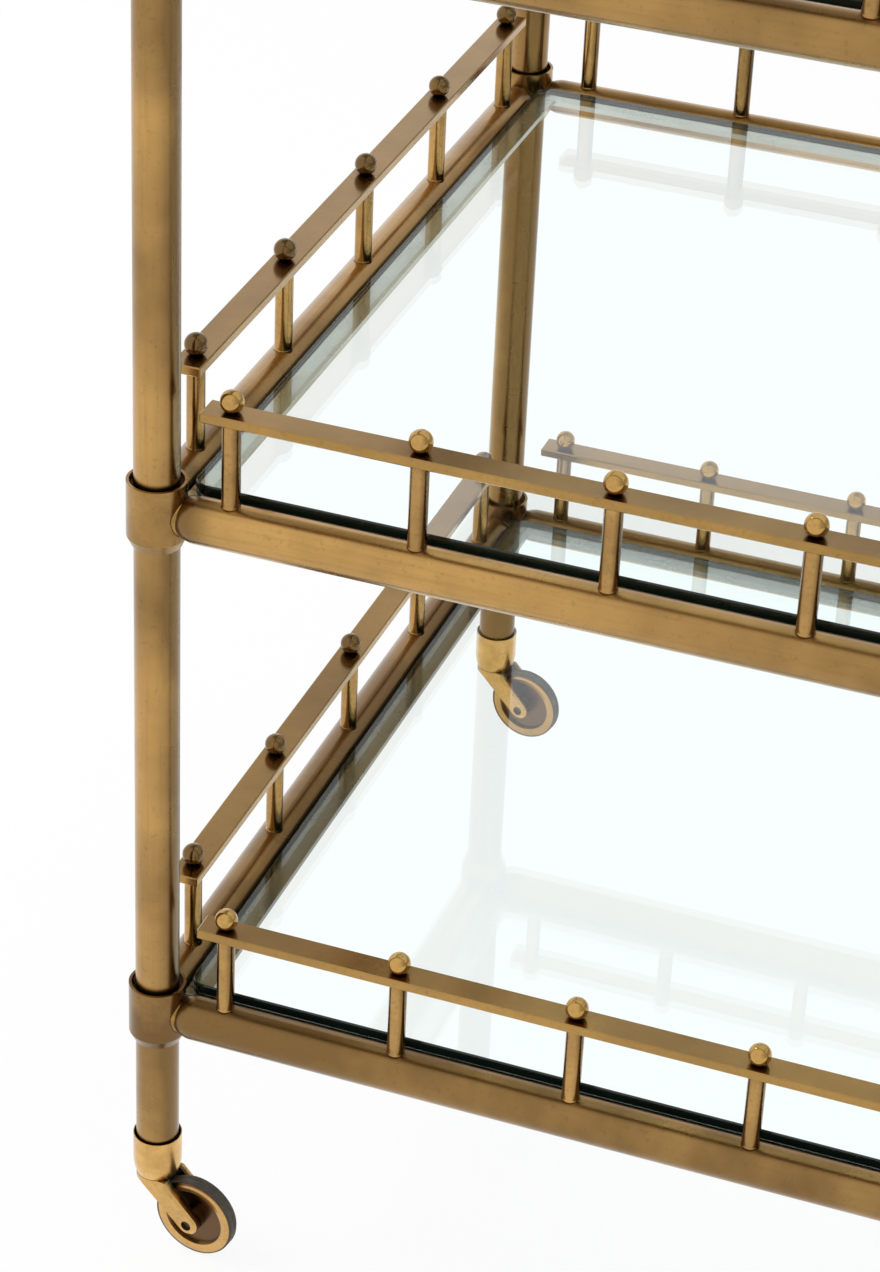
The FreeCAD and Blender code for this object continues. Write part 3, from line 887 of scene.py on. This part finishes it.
@dataclass
class Brazing:
    """The beads of brazing metal where one tier's rails meet the collars."""

    tier: Tier
    finishes: Finishes
    rail_radius_mm: float = 8.0  # at the rail's neck
    collar_radius_mm: float = 14.45
    leg_mm: float = 1.9
    profile: tuple[tuple[float, float], ...] = (
        (1.0, -0.05), (0.75, 0.3), (0.52, 0.52), (0.3, 0.75), (-0.05, 1.0), (-0.25, -0.25),
    )  # (along the rail, up the collar) in legs
    lump: float = 0.22  # how unevenly the metal ran
    waves: tuple[tuple[int, float, float], ...] = ((3, 0.6, 1.0), (7, 0.4, 2.3))  # (lumps, share, phase)
    corner_phase: float = 1.7
    rail_phase: float = 0.9
    steps: int = 72

    def section(self, turn: float, leg: float) -> list[Vector]:
        """Cuts through the bead at one place round the rail.

        Args:
            turn: the angle round the rail.
            leg: how far the metal runs along the rail and the collar, in metres.

        Returns:
            Points in order, with X along the rail away from the post.
        """
        rail, collar = self.rail_radius_mm * MM, self.collar_radius_mm * MM
        out = Vector((0, math.cos(turn), math.sin(turn)))
        seam = Vector((math.sqrt(collar**2 - (rail * out.y) ** 2), rail * out.y, rail * out.z))
        facing = Vector((seam.x, seam.y, 0)).normalized()
        up_collar = (out - facing * out.dot(facing)).normalized()
        away = Vector((1, 0, 0))
        return [seam + (away * along + up_collar * across) * leg for along, across in self.profile]

    def bead(self, bm: Mesh, place: Matrix, phase: float) -> None:
        """Runs one bead round a rail's end.

        Args:
            bm: the mesh that takes it.
            place: the joint, with X along the rail.
            phase: where the lumps start.
        """
        rings = []
        for step in range(self.steps):
            turn = 2 * math.pi * step / self.steps
            swell = sum(math.sin(count * turn + shift * phase) * share for count, share, shift in self.waves)
            points = self.section(turn, self.leg_mm * MM * (1 + self.lump * swell))
            rings.append([bm.verts.new(place @ point) for point in points])
        for step, ring in enumerate(rings):
            before = rings[step - 1]
            for index in range(len(ring)):
                face = bm.faces.new([before[index - 1], before[index], ring[index], ring[index - 1]])
                face.smooth = True

    def build(self) -> None:
        """Makes the beads of all four corners."""
        low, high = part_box(f"rail_front_{self.tier.value}")
        height = (low.z + high.z) / 2
        bm = bmesh.new()
        for number, corner in enumerate(Corner):
            axis = post_axis(corner)
            place = Matrix.Translation((axis.x, axis.y, height))
            headings = (math.pi if axis.x > 0 else 0.0, -math.pi / 2 if axis.y > 0 else math.pi / 2)
            for turn, heading in enumerate(headings):
                phase = self.corner_phase * number + self.rail_phase * turn
                self.bead(bm, place @ Matrix.Rotation(heading, 4, "Z"), phase)
        bmesh.ops.recalc_face_normals(bm, faces=bm.faces)
        beads = new_piece(f"brazed_joints_{self.tier.value}", bm, [self.finishes.braze])
        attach(beads, "frame")


@dataclass
class Caster:
    """One caster: a fork that swivels under the post's cup, and a tyred wheel."""

    corner: Corner
    finishes: Finishes
    width_mm: float = 6.3
    outer_mm: float = 22.5
    seat_mm: float = 20.05
    shoulder_mm: float = 0.7
    shoulder_steps: int = 6
    seam_mm: float = 0.2
    weld_mm: float = 0.001
    segments: int = 96

    def axle(self) -> tuple[Vector, Vector]:
        """The wheel's middle and its axle's direction."""
        joint = next(j for j in frame["joints"] if j["name"] == f"wheel_{self.corner.value}")
        return Vector(joint["pos_m"]), Vector(joint["axis"])

    def build_tyre(self) -> None:
        """Makes a tyre with round shoulders and a fine mould seam round its middle."""
        half, outer, seat = self.width_mm / 2 * MM, self.outer_mm * MM, self.seat_mm * MM
        shoulder, seam = self.shoulder_mm * MM, self.seam_mm * MM
        near = arc((outer - shoulder, shoulder - half), shoulder, -90, 0, self.shoulder_steps)
        far = arc((outer - shoulder, half - shoulder), shoulder, 0, 90, self.shoulder_steps)
        outline = [(seat, -half), *near, (outer, -seam), (outer - seam, 0), (outer, seam), *far,
                   (seat, half), (seat, -half)]
        middle, axis = self.axle()
        turn = Vector((0, 0, 1)).rotation_difference(axis)
        bm = bmesh.new()
        lathe(bm, outline, Matrix.Translation(middle) @ turn.to_matrix().to_4x4(), self.segments)
        bmesh.ops.remove_doubles(bm, verts=bm.verts, dist=self.weld_mm * MM)
        tyre = new_piece(f"rubber_tyre_{self.corner.value}", bm, [self.finishes.rubber])
        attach(tyre, f"rolling_{self.corner.value}")
        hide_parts(f"tyre_{self.corner.value}")

    def build(self) -> None:
        """Makes the tyre and dresses the rest."""
        self.build_tyre()
        dress(f"fork_{self.corner.value}", self.finishes.fork(self.corner, *self.axle()))
        dress(f"wheel_{self.corner.value}", self.finishes.wheel)
        dress(f"axle_{self.corner.value}", self.finishes.steel)


@dataclass
class Viewpoint:
    """The camera, where the photograph was taken from."""

    place_mm: tuple[float, float, float] = (201.1, -1626.9, 1295.6)
    heading_deg: float = 18.69  # to the left of straight ahead
    tilt_deg: float = 31.79  # below level
    roll_deg: float = 2.65
    lens_mm: float = 69.82
    sensor_height_mm: float = 24.0

    def build(self) -> None:
        """Makes the camera and looks through it."""
        heading, tilt, roll = (math.radians(a) for a in (self.heading_deg, self.tilt_deg, self.roll_deg))
        level_reach = math.cos(tilt)
        ahead = Vector((-math.sin(heading) * level_reach, math.cos(heading) * level_reach, -math.sin(tilt)))
        level = Vector((math.cos(heading), math.sin(heading), 0))
        above = level.cross(ahead)
        right = level * math.cos(roll) + above * math.sin(roll)
        up = above * math.cos(roll) - level * math.sin(roll)
        data = bpy.data.cameras.new("photograph_view")
        data.sensor_fit = "VERTICAL"
        data.sensor_height = self.sensor_height_mm
        data.lens = self.lens_mm
        camera = bpy.data.objects.new("photograph_view", data)
        turn = Matrix((right, up, -ahead)).transposed().to_4x4()
        camera.matrix_world = Matrix.Translation(Vector(self.place_mm) * MM) @ turn
        bpy.context.scene.collection.objects.link(camera)
        bpy.context.scene.camera = camera


@dataclass(frozen=True)
class DimPatch:
    """A part of the room that metal mirrors as dimmer than white."""

    heading: tuple[float, float, float]  # towards its middle
    outer: float  # cosine from its middle where the dimming starts
    inner: float  # and where it is full
    light: float  # what is left there


@dataclass
class Studio:
    """A white sweep in a room with a dim wall on the right and a dark patch of ceiling, and a soft lamp."""

    floor_mm: float = 9000.0
    floor_colour: str = "#FFFFFF"
    floor_glow: float = 0.9
    room_light: float = 0.7  # what the room gives to matt surfaces
    right_wall: DimPatch = DimPatch((0.947, 0.32, 0.0), outer=-0.15, inner=0.95, light=0.5)
    dark_ceiling: DimPatch = DimPatch((-0.135, 0.4, 0.906), outer=0.8, inner=0.98, light=0.4)
    key_watts: float = 40.0
    key_mm: float = 1600.0
    key_place_mm: tuple[float, float, float] = (-2500.0, -400.0, 2100.0)
    key_aim_mm: tuple[float, float, float] = (0.0, 0.0, 400.0)

    def build_floor(self) -> None:
        """Makes the white floor, which keeps a soft shadow."""
        material, tree = empty_material("white_paper_sweep")
        path = add_node(tree, "ShaderNodeLightPath")
        seen = add_node(tree, "ShaderNodeMath", {"operation": "MAXIMUM"}, {
            0: path.outputs["Is Camera Ray"], 1: path.outputs["Is Glossy Ray"]})
        glowing = add_node(tree, "ShaderNodeMath", {"operation": "MULTIPLY"}, {
            0: seen.outputs["Value"], 1: self.floor_glow})
        share = add_node(tree, "ShaderNodeMath", {"operation": "MAXIMUM"}, {
            0: glowing.outputs["Value"], 1: path.outputs["Is Transmission Ray"]})
        paper = add_node(tree, "ShaderNodeBsdfDiffuse", inputs={"Color": linear(self.floor_colour)})
        white = add_node(tree, "ShaderNodeEmission", inputs={"Strength": 1.0})
        mixed = add_node(tree, "ShaderNodeMixShader", inputs={
            0: share.outputs["Value"], 1: paper.outputs["BSDF"], 2: white.outputs["Emission"]})
        add_node(tree, "ShaderNodeOutputMaterial", inputs={"Surface": mixed.outputs["Shader"]})
        bm = bmesh.new()
        bmesh.ops.create_grid(bm, x_segments=1, y_segments=1, size=self.floor_mm / 2 * MM)
        floor = new_piece("studio_floor", bm, [material])

    def build_world(self) -> None:
        """Makes the room: plain white to the eye and in the panes' mirror, with dim patches in all others."""
        world = bpy.data.worlds.new("white_sweep")
        bpy.context.scene.world = world
        world.use_nodes = True
        tree = world.node_tree
        tree.nodes.clear()
        heading = add_node(tree, "ShaderNodeTexCoord").outputs["Generated"]
        mirrored: Socket | float = 1.0
        for patch in (self.right_wall, self.dark_ceiling):
            cosine = add_node(tree, "ShaderNodeVectorMath", {"operation": "DOT_PRODUCT"}, {
                0: heading, 1: patch.heading})
            dimmed = add_node(tree, "ShaderNodeMapRange", {"interpolation_type": "SMOOTHSTEP"}, {
                "Value": cosine.outputs["Value"], "From Min": patch.outer, "From Max": patch.inner,
                "To Min": 1.0, "To Max": patch.light})
            mirrored = add_node(tree, "ShaderNodeMath", {"operation": "MULTIPLY"}, {
                0: mirrored, 1: dimmed.outputs["Result"]}).outputs["Value"]
        path = add_node(tree, "ShaderNodeLightPath")
        unseen = add_node(tree, "ShaderNodeMix", {"data_type": "FLOAT"}, {
            0: path.outputs["Is Glossy Ray"], 2: self.room_light, 3: mirrored})
        through = add_node(tree, "ShaderNodeMath", {"operation": "MAXIMUM"}, {
            0: path.outputs["Is Camera Ray"], 1: path.outputs["Is Transmission Ray"]})
        plain = add_node(tree, "ShaderNodeMath", {"operation": "MAXIMUM"}, {
            0: through.outputs["Value"], 1: path.outputs["Is Singular Ray"]})  # the glass's mirror
        strength = add_node(tree, "ShaderNodeMix", {"data_type": "FLOAT"}, {
            0: plain.outputs["Value"], 2: unseen.outputs[0], 3: 1.0})
        light = add_node(tree, "ShaderNodeBackground", inputs={
            "Color": (1, 1, 1, 1), "Strength": strength.outputs[0]})
        add_node(tree, "ShaderNodeOutputWorld", inputs={"Surface": light.outputs["Background"]})

    def build_lamp(self) -> None:
        """Hangs a large soft lamp to the left of the cart."""
        data = bpy.data.lights.new("left_softbox", "AREA")
        data.energy = self.key_watts
        data.size = self.key_mm * MM
        lamp = bpy.data.objects.new("left_softbox", data)
        place = Vector(self.key_place_mm) * MM
        away = place - Vector(self.key_aim_mm) * MM
        lamp.matrix_world = Matrix.Translation(place) @ away.to_track_quat("Z", "Y").to_matrix().to_4x4()
        lamp.visible_glossy = False
        bpy.context.scene.collection.objects.link(lamp)

    def build(self) -> None:
        """Makes the floor, the room and the lamp."""
        self.build_floor()
        self.build_world()
        self.build_lamp()
        bpy.context.scene.view_settings.view_transform = "Standard"


def write_sizes() -> None:
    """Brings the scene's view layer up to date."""
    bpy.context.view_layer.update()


def main() -> None:
    """Builds the cart's looks, then the studio round it."""
    logging.basicConfig(level=logging.INFO, format="%(name)s: %(message)s")
    finishes = Finishes()
    Frame(finishes).build()
    for tier in Tier:
        Gallery(tier, finishes).build()
        GlassShelf(tier, finishes).build()
        Brazing(tier, finishes).build()
    dress("caster_cups", finishes.caster)
    dress("kingpins", finishes.steel)
    for corner in Corner:
        Caster(corner, finishes).build()
    Viewpoint().build()
    Studio().build()
    write_sizes()


if __name__ == "__main__":
    main()
